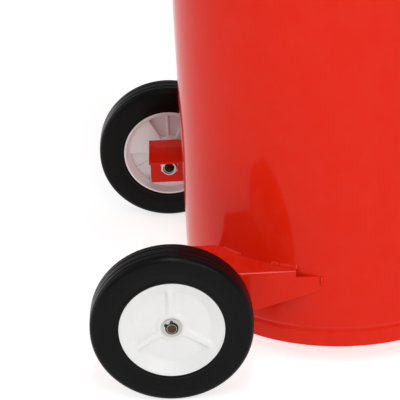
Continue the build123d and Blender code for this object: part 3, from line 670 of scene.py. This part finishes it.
# ---- axle hardware ----------------------------------------------------------------------------
def make_lock_nuts():
    """Hexagon lock nuts with a chamfered base and a round collar over the nylon insert."""
    low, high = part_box("axle_lock_nuts")
    middle_y, middle_z = (low.y + high.y) / 2, (low.z + high.z) / 2
    hex_flats, collar_depth, nut_length = 0.0238, 0.0045, 0.016
    insert_r = 0.0082
    for name, side in SIDES.items():
        inner_face = side * (high.x - nut_length)
        centre = Vector((inner_face, middle_y, middle_z))
        outward = X_AXIS * side
        form = bmesh.new()
        corner_r = hex_flats / 2 / math.cos(math.radians(30))
        depth = nut_length - collar_depth
        turn = Matrix.Rotation(math.radians(90), 4, "Y") @ Matrix.Rotation(math.radians(30), 4, "Z")
        place = Matrix.Translation(centre + outward * (collar_depth + depth / 2))
        made = bmesh.ops.create_cone(
            form, cap_ends=True, segments=6, radius1=corner_r, radius2=corner_r, depth=depth,
            matrix=place @ turn,
        )
        edges = {edge for vertex in made["verts"] for edge in vertex.link_edges}
        rims = [edge for edge in edges if abs((edge.verts[0].co - edge.verts[1].co).x) < 1e-5]
        bmesh.ops.bevel(
            form, geom=rims, offset=0.0011, affect="EDGES", segments=2, profile=0.5, material=-1,
        )
        bmesh.ops.remove_doubles(form, verts=form.verts, dist=1e-6)
        collar = rounded([
            (0.0008, insert_r, 0.0004), (0.0, 0.0095, 0.0006), (0.0006, 0.0112, 0.0012),
            (collar_depth + 0.0006, 0.0114, 0), (collar_depth + 0.0006, insert_r, 0),
        ])
        ring = spun(collar, centre, outward, Z_AXIS, 48)
        carry = bpy.data.meshes.new("collar")
        ring.to_mesh(carry)
        ring.free()
        form.from_mesh(carry)
        bpy.data.meshes.remove(carry)
        replaced = ["axle_lock_nuts"] if name == "left" else ()
        finish_piece(f"{name}_axle_lock_nut", form, "zinc", "tank", replaced, 30)


def make_axle_ends():
    """The unplated cut end of each stub axle, and the dark threaded end inside its lock nut."""
    pitch, crest_r, root_r = 0.0014, 0.0080, 0.0073
    for name, side in SIDES.items():
        low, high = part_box(f"{name}_axle")
        middle_y, middle_z = (low.y + high.y) / 2, (low.z + high.z) / 2
        tip = Vector((high.x if side > 0 else low.x, middle_y, middle_z))
        cut_end = rounded([
            (-0.0022, 0, 0), (-0.0022, 0.00645, 0), (-0.0005, 0.00645, 0.0003),
            (0.0002, 0.0056, 0.0003), (0.0002, 0, 0),
        ])
        form = spun(cut_end, tip, X_AXIS * side, Z_AXIS, 48)
        finish_piece(f"{name}_axle_cut_end", form, "bare_steel", "tank", (), 40)
        inner = Vector((low.x if side > 0 else high.x, middle_y, middle_z))
        thread = [(-0.0002, 0), (-0.0002, 0.0066), (-0.0012, 0.0078)]
        for turn in range(3):
            thread += [(-0.0018 - turn * pitch, crest_r), (-0.0025 - turn * pitch, root_r)]
        thread += [(-0.0070, root_r), (-0.0070, 0)]
        outline = [Vector((-along - 0.0007, out)) for along, out in thread]
        form = spun(outline, inner, X_AXIS * side, Z_AXIS, 48)
        finish_piece(f"{name}_axle_thread_end", form, "black_steel", "tank", (), 40)


make_tank_shell()
make_bracket_welds()
make_fitting_welds()
make_handle_grip()
for side_name, side_sign in SIDES.items():
    make_tyre(side_name, side_sign)
    make_hub(side_name, side_sign)
make_lock_nuts()
make_axle_ends()


# ---- stage, light and camera ------------------------------------------------------------------
def make_floor():
    """A wide pale floor that glows a little, so that it stays white."""
    mesh = bpy.data.meshes.new("floor")
    form = bmesh.new()
    bmesh.ops.create_grid(form, x_segments=1, y_segments=1, size=12)
    form.to_mesh(mesh)
    form.free()
    floor = bpy.data.objects.new("floor", mesh)
    bpy.context.scene.collection.objects.link(floor)
    material, tree, shader = new_material("pale_floor", Roughness=0.85)
    grain = place_effect(tree, "surface_grain", Patch_Scale=0.8, Grain_Scale=40.0)
    tone = mix_colours(tree, grain.outputs["Patches"], (0.50, 0.50, 0.50, 1), (0.48, 0.48, 0.48, 1))
    tree.links.new(tone, shader.inputs["Base Color"])
    shader.inputs["Emission Color"].default_value = (1, 1, 1, 1)
    shader.inputs["Emission Strength"].default_value = 0.72
    mesh.materials.append(material)


def make_softbox(name, place, target, width, height, power):
    """A rectangular studio lamp that faces a target."""
    lamp = bpy.data.lights.new(name, "AREA")
    lamp.shape = "RECTANGLE"
    lamp.size, lamp.size_y, lamp.energy = width, height, power
    softbox = bpy.data.objects.new(name, lamp)
    bpy.context.scene.collection.objects.link(softbox)
    softbox.location = place
    softbox.rotation_euler = (Vector(target) - Vector(place)).to_track_quat("-Z", "Y").to_euler()


def make_light():
    """An even white room with a narrow strip above, a softbox on the left and a rear panel."""
    bpy.context.scene.view_settings.view_transform = "Standard"
    world = bpy.data.worlds.new("studio")
    bpy.context.scene.world = world
    world.use_nodes = True
    world.node_tree.nodes["Background"].inputs["Color"].default_value = (1, 1, 1, 1)
    world.node_tree.nodes["Background"].inputs["Strength"].default_value = 0.40
    middle = (0, 0, 0.3)
    make_softbox("strip_above", (-1.35, 0.1, 2.6), middle, 0.3, 1.6, 25)
    make_softbox("front_left", (-3.4, -1.3, 2.0), middle, 2.2, 2.0, 46)
    make_softbox("rear_panel", (0.3, 3.0, 1.4), (0, 0, 0.8), 3.4, 2.8, 28)


CAMERA_PLACE = Vector((-2.2708, 0.1857, 1.3004))
CAMERA_PITCH = math.radians(27.048)
CAMERA_ROLL = math.radians(-2.687)
CAMERA_LENS = 170.64       # on a 36 mm wide sensor


def make_camera():
    """A long lens that looks down on the tank's left side."""
    forward = Vector((math.cos(CAMERA_PITCH), 0, -math.sin(CAMERA_PITCH)))
    level_right = Vector((0, -1, 0))
    level_up = level_right.cross(forward)
    right = math.cos(CAMERA_ROLL) * level_right + math.sin(CAMERA_ROLL) * level_up
    up = right.cross(forward)
    lens = bpy.data.cameras.new("camera")
    lens.lens = CAMERA_LENS
    lens.sensor_width = 36
    camera = bpy.data.objects.new("camera", lens)
    bpy.context.scene.collection.objects.link(camera)
    turn = Matrix((right, up, -forward)).transposed()
    camera.matrix_world = Matrix.Translation(CAMERA_PLACE) @ turn.to_4x4()
    bpy.context.scene.camera = camera


make_floor()
make_light()
make_camera()
